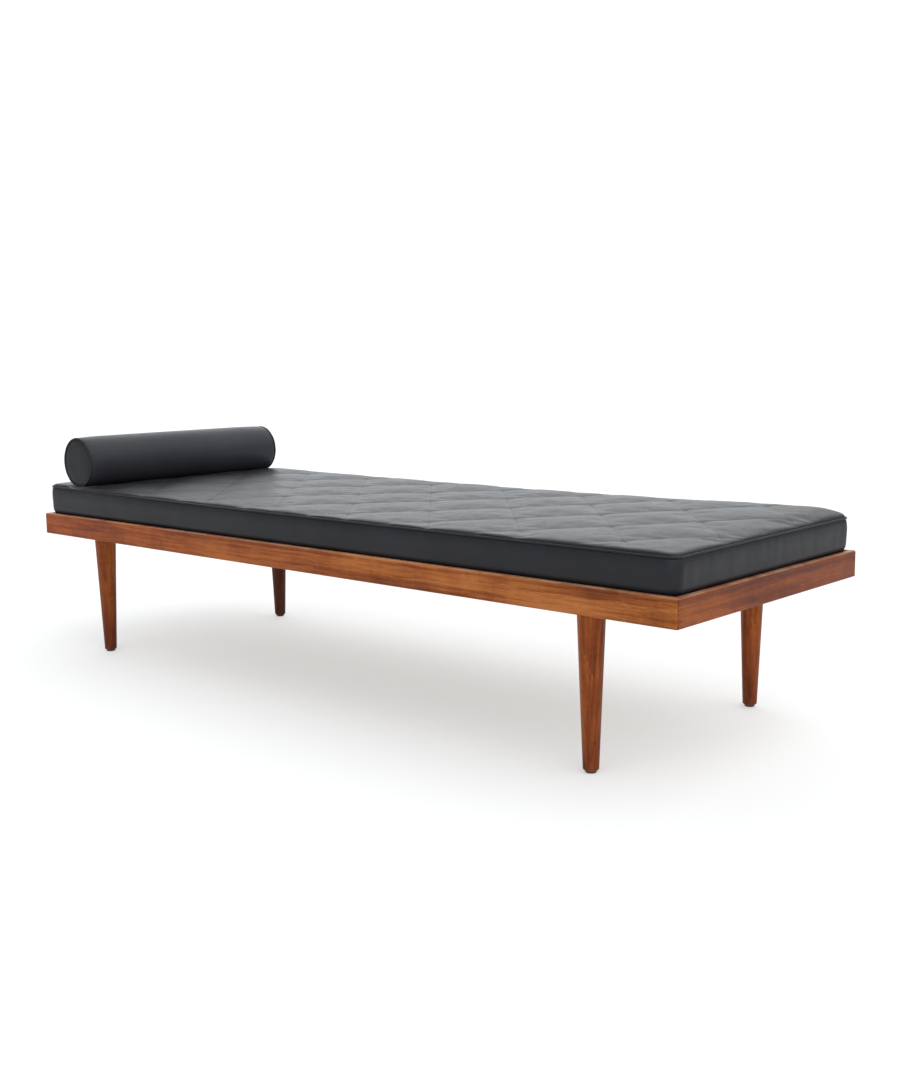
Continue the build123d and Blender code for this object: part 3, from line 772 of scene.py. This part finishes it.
def make_side_band(material):
    """The boxing strip: held in at the welt, full below it, a little slack at half height, open along the
    zip, and tucked under at the foot."""
    shares, outs = zip(*BAND_OUT)

    def profile(x, y, length):
        top, foot = seam_height(x, y) - 0.6 * MM, MATTRESS_FOOT
        heights = [top - drop * MM for drop in ROWS_BELOW_SEAM]
        heights += [ZIP_Z + rise * MM for rise in ROWS_ABOVE_ZIP]
        heights += [foot + rise * MM for rise in ROWS_ABOVE_FOOT]
        slack = 1.0 * wobble(x, y, 0.0, 3.2, 2.0) + 0.5 * wobble(x, y, 0.0, 9.0, 8.0)
        corner_pull = max(0.0, 1 - abs(edge_corner(x, y)) / (70 * MM))
        at_foot_end = max(0.0, 1 - (HALF_X - x) / (4 * MM))
        at_head_end = max(0.0, 1 - (HALF_X + x) / (4 * MM))
        points = []
        for z in heights:
            share = (top - z) / (top - foot)
            out = np.interp(share, shares, outs) * MM
            middle = math.sin(math.pi * min(1.0, share / 0.86))
            out += middle * slack * 0.9 * MM
            out += wobble(x, y, z * 0.35, 24.0, 4.0) * 0.55 * MM * middle
            pucker = noise.noise(Vector((length / (15 * MM), 0.0, 9.1))) * 0.55 * MM
            out += pucker * math.exp(-share / 0.16) * min(1.0, share / 0.05)
            out += corner_pull * 0.9 * MM * math.sin(length / (7.5 * MM)) * middle * 0.4
            upright = noise.noise(Vector((length / (22 * MM), z / (160 * MM), 4.4)))
            out += at_foot_end * upright * 0.5 * MM * middle
            out += at_head_end * 2.2 * MM * min(1.0, (1 - share) / 0.12) * (share > 0)
            hold, set_out = zip_opening(x, y, z)
            points.append((out * (1 - hold) + set_out * MM * hold, z))
        return points

    piece = ring_strip("side_band", BAND_STATIONS, profile, material)
    subdivide(piece)
    close_band(piece)
    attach(piece, "mattress")
    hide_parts("mattress_side_band", "mattress_core")
    return piece


def close_band(piece):
    """Closes the band into one cushion body: a hidden face under the quilted top, and one at the foot."""

    def ring(under_top, at_foot):
        """The next ring in: one move for the edge at the seam, and one for the edge at the foot."""
        return lambda place: (under_top if place.z > MATTRESS_FOOT + 20 * MM else at_foot)(place)

    first = ring(inward(2 * MM, 1.5 * MM), inward(3 * MM, -0.4 * MM))
    second = ring(inward(10 * MM, 14 * MM), inward(6 * MM, -0.8 * MM))
    close_edges(piece, [first, second])


def edge_corner(x, y):
    """Distance from the nearest corner, roughly."""
    return math.hypot(abs(x) - HALF_X, abs(y) - HALF_Y)


def tube_along(name, points, radius, sides, material, body):
    """A closed tube around a loop of (place, outward, up) frames, with radius(k) at each."""
    vertices = []
    for k, (place, outward, up) in enumerate(points):
        r = radius(k)
        for side in range(sides):
            turn = 2 * math.pi * side / sides
            vertices.append(place + outward * (r * math.cos(turn)) + up * (r * math.sin(turn)))
    faces = grid_faces(len(points), sides, closed_rows=True, closed_columns=True)
    return add_mesh(name, vertices, faces, material, body)


def make_mattress_welt(material):
    """Leather-covered cord in the top edge seam."""
    stations = 1300
    frames = []
    for k in range(stations):
        length = OUTLINE * k / stations
        (x, y), (nx, ny) = outline_point(length)
        drift = 0.4 * MM * noise.noise(Vector((length / (60 * MM), 1.0, 2.0)))
        out = 0.1 * MM + drift
        place = Vector((x + nx * out, y + ny * out, seam_height(x, y) + 0.3 * MM + drift))
        frames.append((place, Vector((nx, ny, 0.0)), Vector((0.0, 0.0, 1.0))))

    def radius(k):
        return (1.95 + 0.2 * noise.noise(Vector((k * 0.8, 4.0, 0.0)))) * MM

    piece = tube_along("top_welt", frames, radius, 10, material, "mattress")
    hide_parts("mattress_piping")
    return piece


def is_slat(name):
    return name.startswith("slat_") and name[5:].isdigit()


def make_base_cloth(material):
    """The cover's underside, which settles a little between the slats."""
    low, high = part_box("mattress_base_panel")
    columns, rows = 156, 50
    slats = [name for name in nodes if is_slat(name)]
    slat_boxes = [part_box(name) for name in slats]
    vertices = []
    for r in range(rows + 1):
        for c in range(columns + 1):
            x = low.x + (high.x - low.x) * c / columns
            y = low.y + (high.y - low.y) * r / rows
            gap = min(max(a.x - x, x - b.x, 0.0) for a, b in slat_boxes)
            inside = min(1.0, (high.y - abs(y)) / (40 * MM), (high.x - abs(x)) / (40 * MM))
            sag = 2.4 * MM * (1 - math.exp(-gap / (22 * MM))) * max(0.0, inside)
            ripple = 0.2 * MM * wobble(x, y, 0.0, 30.0) * (gap > 2 * MM)
            vertices.append((x, y, low.z + 0.05 * MM - sag + ripple))
    faces = turned_over(grid_faces(rows + 1, columns + 1))
    piece = add_mesh("base_cloth", vertices, faces, material, "mattress")
    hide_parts("mattress_base_panel")
    return piece


# ------------------------------------------------------------------ bolster
def bolster_zip_dip(turn, y):
    """How far the sleeve gives way along the zip, which runs along the side away from the foot end."""
    off = abs(math.remainder(turn - 1.5 * math.pi, 2 * math.pi)) * BOLSTER_RADIUS
    beyond = max(0.0, BOLSTER_ZIP_LOW.y - 6 * MM - y, y - BOLSTER_ZIP_HIGH.y)
    return 2.0 * MM * math.exp(-((off / (5.5 * MM)) ** 4)) * math.exp(-((beyond / (6 * MM)) ** 2))


BOLSTER_CENTRE = Vector((BOLSTER_X, 3 * MM, BOLSTER_Z))
AROUND = 144                # mesh steps around the roll


def bolster_inward(share, depth):
    """For close_edges: moves a point of a bolster end nearer the axis, and deeper inside."""

    def turn(place):
        side = -1 if place.y < BOLSTER_CENTRE.y else 1
        return Vector((
            BOLSTER_CENTRE.x + (place.x - BOLSTER_CENTRE.x) * share,
            place.y - side * depth,
            BOLSTER_CENTRE.z + (place.z - BOLSTER_CENTRE.z) * share,
        ))

    return turn


def sleeve_radius(turn, y, near, seed):
    """Radius of the sleeve: drawn in towards its ends, gathered at them, and sunk along the zip."""
    radius = BOLSTER_RADIUS - 2.6 * MM * math.exp(-near / (4.5 * MM)) - 2.2 * MM * math.exp(-near / (38 * MM))
    radius += 0.35 * MM * wobble(math.cos(turn) * 0.12, y, math.sin(turn) * 0.12, 11.0, 6.0)
    gather = noise.noise(Vector((math.cos(turn) * 6.5, math.sin(turn) * 6.5, seed)))
    radius += 1.2 * MM * gather * math.exp(-near / (13 * MM)) * (1 - math.exp(-near / (4 * MM)))
    return min(radius, BOLSTER_RADIUS + 0.5 * MM) - bolster_zip_dip(turn, y)


def make_bolster_sleeve(first_y, last_y, material):
    """The sleeve of a firm roll, from one end seam to the other, with rows closest at the ends."""
    along = 104
    vertices = []
    for k in range(along + 1):
        share = k / along
        eased = share - 0.5 * math.sin(2 * math.pi * share) / (2 * math.pi) * 0.9
        y = first_y + (last_y - first_y) * eased
        near = min(y - first_y, last_y - y)
        for a in range(AROUND):
            turn = 2 * math.pi * a / AROUND
            radius = sleeve_radius(turn, y, near, 2.0 if share < 0.5 else 9.0)
            vertices.append(BOLSTER_CENTRE + Vector((radius * math.sin(turn), y, radius * math.cos(turn))))
    faces = grid_faces(along + 1, AROUND, closed_columns=True)
    sleeve = add_mesh("bolster_cover", vertices, faces, material, "bolster")
    subdivide(sleeve)
    close_edges(sleeve, [bolster_inward(0.97, 1 * MM), bolster_inward(0.6, 6 * MM)])
    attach(sleeve, "bolster")
    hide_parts("bolster_sleeve", "bolster_core")


def make_bolster_cap(side, y, outward, material):
    """A round end panel, domed, with gathers that run in from its seam."""
    rings = 16
    edge = BOLSTER_RADIUS - 5.0 * MM
    dome_height = 1.8 * MM
    vertices = [BOLSTER_CENTRE + Vector((0.0, y + outward * dome_height, 0.0))]
    for ring in range(1, rings + 1):
        share = ring / rings
        r = edge * share
        dome = dome_height * (1 - share ** 6)
        for a in range(AROUND):
            turn = 2 * math.pi * a / AROUND
            gather = noise.noise(Vector((math.cos(turn) * 7.0, math.sin(turn) * 7.0, 31.0 + outward)))
            puff = 1.5 * MM * gather * math.exp(-(1 - share) / 0.10) * (1 - share ** 24)
            uneven = wobble(r * math.cos(turn), y, r * math.sin(turn), 28.0, 3.0) * (1 - share ** 8)
            puff += 0.5 * MM * uneven
            place = (r * math.sin(turn), y + outward * (dome + puff), r * math.cos(turn))
            vertices.append(BOLSTER_CENTRE + Vector(place))
    faces = [(0, 1 + (a + 1) % AROUND, 1 + a) for a in range(AROUND)]
    faces += numbered_from(1, grid_faces(rings, AROUND, closed_columns=True))
    if outward < 0:
        faces = turned_over(faces)
    cap = add_mesh(f"bolster_{side}_cap", vertices, faces, material, "bolster")
    close_edges(cap, [bolster_inward(0.98, 1 * MM), bolster_inward(0.7, 3 * MM)])
    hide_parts(f"bolster_{side}_end")


def make_bolster_welt(side, y, outward, material):
    """The covered cord around an end seam."""
    stations = 220
    frames = []
    for k in range(stations):
        turn = 2 * math.pi * k / stations
        direction = Vector((math.sin(turn), 0.0, math.cos(turn)))
        wave = 0.35 * MM * noise.noise(Vector((math.cos(turn) * 5, math.sin(turn) * 5, 17.0 + outward)))
        reach = BOLSTER_RADIUS - 4.0 * MM + wave * 0.5
        place = BOLSTER_CENTRE + direction * reach + Vector((0.0, y + wave, 0.0))
        frames.append((place, direction, Vector((0.0, 1.0, 0.0))))
    welt = tube_along(
        f"bolster_{side}_welt", frames, lambda k: 2.1 * MM, 10, material, "bolster"
    )
    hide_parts(f"bolster_{side}_piping")


def make_bolster(roll, end, welt):
    """A firm roll: sleeve, two domed end panels and the piping around them."""
    seams = {}
    for side in ("front", "rear"):
        low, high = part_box(f"bolster_{side}_piping")
        seams[side] = (low.y + high.y) / 2
    # roll and end carry lighter and darker copies of the leather: painted light on the sleeve, painted shade
    # on the end panels.
    make_bolster_sleeve(seams["front"], seams["rear"], roll)
    for side, outward in (("front", -1), ("rear", 1)):
        make_bolster_cap(side, seams[side], outward, end)
        make_bolster_welt(side, seams[side], outward, welt)


# ------------------------------------------------------------------ zips
def make_zip(name, cad_node, along, out, body, material, tape):
    """Interlocking teeth on two tapes, in the place of the plain chain."""
    low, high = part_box(cad_node)
    middle = (low + high) / 2
    size = high - low
    axis = Vector(along)
    outward = Vector(out)
    across = Vector((0.0, 0.0, 1.0))
    length, depth = abs(size.dot(axis)), abs(size.dot(outward))
    face = middle + outward * (depth / 2)
    pitch = 3.0 * MM
    bm = bmesh.new()
    count = int(length / pitch) - 1
    for k in range(count):
        side = 1 if k % 2 else -1
        place = face + axis * ((k + 0.5) * pitch - length / 2)
        place += across * (side * 0.75 * MM) - outward * 0.9 * MM
        made = bmesh.ops.create_cube(bm, size=1.0)["verts"]
        for vertex in made:
            local = vertex.co.copy()
            taper = 0.72 if local.z * side > 0 else 1.0
            vertex.co = (
                place
                + axis * (local.x * 1.9 * MM * taper)
                + across * (local.z * 3.4 * MM)
                + outward * (local.y * 1.7 * MM)
            )
    teeth_mesh = bpy.data.meshes.new(name)
    bmesh.ops.recalc_face_normals(bm, faces=bm.faces)
    bm.to_mesh(teeth_mesh)
    bm.free()
    teeth = add_piece(name, teeth_mesh, material, body)
    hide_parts(cad_node)

    vertices = []
    steps = 120
    tape_rows = ((-7.5, 0.2), (-3.0, 0.0), (0.0, -0.1), (3.0, 0.0), (7.5, 0.2))
    for k in range(steps + 1):
        place = middle + axis * (length * (k / steps - 0.5)) + outward * (depth / 2 - 1.1 * MM)
        for z, sink in tape_rows:
            vertices.append(place + across * (z * MM) - outward * (sink * MM))
    faces = turned_over(grid_faces(steps + 1, len(tape_rows)))
    add_mesh(name + "_tape", vertices, faces, tape, body)


# ------------------------------------------------------------------ materials of the CAD nodes
# Woods, as their dark, middle and light colours.
TEAK = ((0.078, 0.0130, 0.0010), (0.176, 0.0380, 0.0035), (0.290, 0.0820, 0.0130))
PINE = ((0.30, 0.19, 0.10), (0.50, 0.35, 0.20), (0.62, 0.46, 0.28))
BEECH = ((0.42, 0.27, 0.16), (0.58, 0.42, 0.27), (0.66, 0.50, 0.34))
# Painted light and shade that change slowly along a piece: axis, from, to, and the colours that multiply
# # the wood's there. The long rails grow lighter and paler towards the foot end, the end rails darker towards
# # the rear, and the legs lighter at the top and darker towards the floor.
LONG_RAIL_PAINTED_LIGHT = ("X", -0.95, 0.95, (1.02, 0.78, 0.44), (1.36, 1.64, 2.50))
END_RAIL_PAINTED_SHADE = ("Y", -0.32, 0.32, (0.90, 0.83, 0.62), (0.83, 0.66, 0.40))
LEG_HEIGHT_PAINTED_LIGHT = ("Z", 0.0, 0.29, (0.74, 0.59, 0.60), (1.52, 1.50, 1.16))
# Each rail's grain direction, the part of the pattern it shows, and its gradient of painted light and shade.
RAIL_LOOKS = {
    "front_rail": ("X", (0.0, 0.0, 0.0), LONG_RAIL_PAINTED_LIGHT),
    "rear_rail": ("X", (3.7, 1.1, 0.6), LONG_RAIL_PAINTED_LIGHT),
    "head_rail": ("Y", (1.3, 2.9, 0.2), END_RAIL_PAINTED_SHADE),
    "foot_rail": ("Y", (5.1, 0.7, 1.9), END_RAIL_PAINTED_SHADE),
}
# Painted light and shade per leg: the rear head leg darkened for the shadow it stands in under the bed, the
# front head leg a little darker, and the rear foot leg lighter.
LEG_PAINTED_LIGHT_LEVELS = {"rear_head_leg": 0.47, "front_head_leg": 0.86, "rear_foot_leg": 1.18}


def dress(node, material):
    """Gives a CAD node its material."""
    node.data.materials.clear()
    node.data.materials.append(material)


def dress_rails():
    for name, (axis, offset, painted_gradient) in RAIL_LOOKS.items():
        pith = (offset[0], 0.09 + offset[1] * 0.01, 0.16) if axis == "X" else (0.07, offset[1], 0.13)
        look = wood_material("teak_" + name, axis, offset, *TEAK, pith=pith, highlight_height=RIM_TOP, painted_gradient=painted_gradient)
        dress(nodes[name], look)


def dress_legs():
    legs = [name for name in nodes if name.endswith("_leg")]
    for number, name in enumerate(legs, 1):
        # The leg's colour scaled by its level of painted light and shade.
        leg_light_level = LEG_PAINTED_LIGHT_LEVELS.get(name, 1.0)
        low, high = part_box(name)
        look = wood_material(
            "teak_" + name,
            "Z",
            (number * 1.7, number * 0.9, number * 2.3),
            *(scaled(colour, share * leg_light_level) for colour, share in zip(TEAK, (0.88, 0.90, 0.86))),
            ring_scale=46.0,
            pith=(-(low.x + high.x) / 2 + 0.035, -(low.y + high.y) / 2 - 0.05, 0.0),
            painted_gradient=LEG_HEIGHT_PAINTED_LIGHT,
        )
        dress(nodes[name], look)


def dress_inner_parts():
    """Base, blocks, fasteners, glides and zip hardware."""
    pine_across = wood_material("pine_across", "Y", (0.4, 0.0, 1.0), *PINE)
    pine_along = wood_material("pine_along", "X", (2.4, 1.0, 1.0), *PINE)
    beech = wood_material("beech", "Z", (7.0, 2.0, 0.0), *BEECH)
    steel = metal_material("zinc_steel", (0.62, 0.62, 0.60), 0.32)
    zip_metal = metal_material("black_zip_metal", (0.075, 0.075, 0.08), 0.34)
    glide_plastic = plastic_material("glide_plastic", (0.018, 0.018, 0.018))
    for name, node in nodes.items():
        if is_slat(name) or name in ("head_leg_bearer", "foot_leg_bearer", "centre_stretcher"):
            dress(node, pine_across)
        elif "_ledger_" in name:
            dress(node, pine_along)
        elif name in ("corner_blocks", "corner_splines", "frame_dowels"):
            dress(node, beech)
        elif name in ("leg_bolts", "leg_inserts", "glide_nails", "slat_screws", "ledger_screws"):
            dress(node, steel)
        elif name.endswith("_glide"):
            dress(node, glide_plastic)
        elif name.endswith(("_zip_slider", "_zip_pull")):
            dress(node, zip_metal)


# ------------------------------------------------------------------ build
make_camera()
make_world()
make_overhead_light()
make_floor()
dress_rails()
dress_legs()
dress_inner_parts()

black_leather = leather_material("black_leather", (0.0140, 0.0142, 0.0174))
# A darker copy of the black leather: painted shade on the bolster's end panels.
shaded_end_leather = leather_material("shaded_end_leather", (0.0070, 0.0071, 0.0088))
# A lighter copy of the black leather: painted light on the bolster's sleeve.
lit_roll_leather = leather_material("lit_roll_leather", (0.0290, 0.0292, 0.0350))
welt_leather = leather_material("welt_leather", (0.0130, 0.0136, 0.0165), (0.34, 0.44), 0.6)
lining = woven_material("lining", (0.030, 0.030, 0.033))
thread = woven_material("thread", (0.012, 0.012, 0.013), 2600.0)
zip_plastic = plastic_material("zip_plastic", (0.022, 0.022, 0.024), 0.42)
tape_cloth = woven_material("zip_tape", (0.022, 0.022, 0.024), 1400.0)

quilted_top = make_quilted_top(black_leather)
make_quilt_thread(quilted_top, thread)
make_side_band(black_leather)
make_mattress_welt(welt_leather)
make_base_cloth(lining)
make_bolster(lit_roll_leather, shaded_end_leather, welt_leather)
for body, along, out in (("mattress", (1, 0, 0), (0, 1, 0)), ("bolster", (0, 1, 0), (-1, 0, 0))):
    make_zip(body + "_zip_teeth", body + "_zip_chain", along, out, body, zip_plastic, tape_cloth)
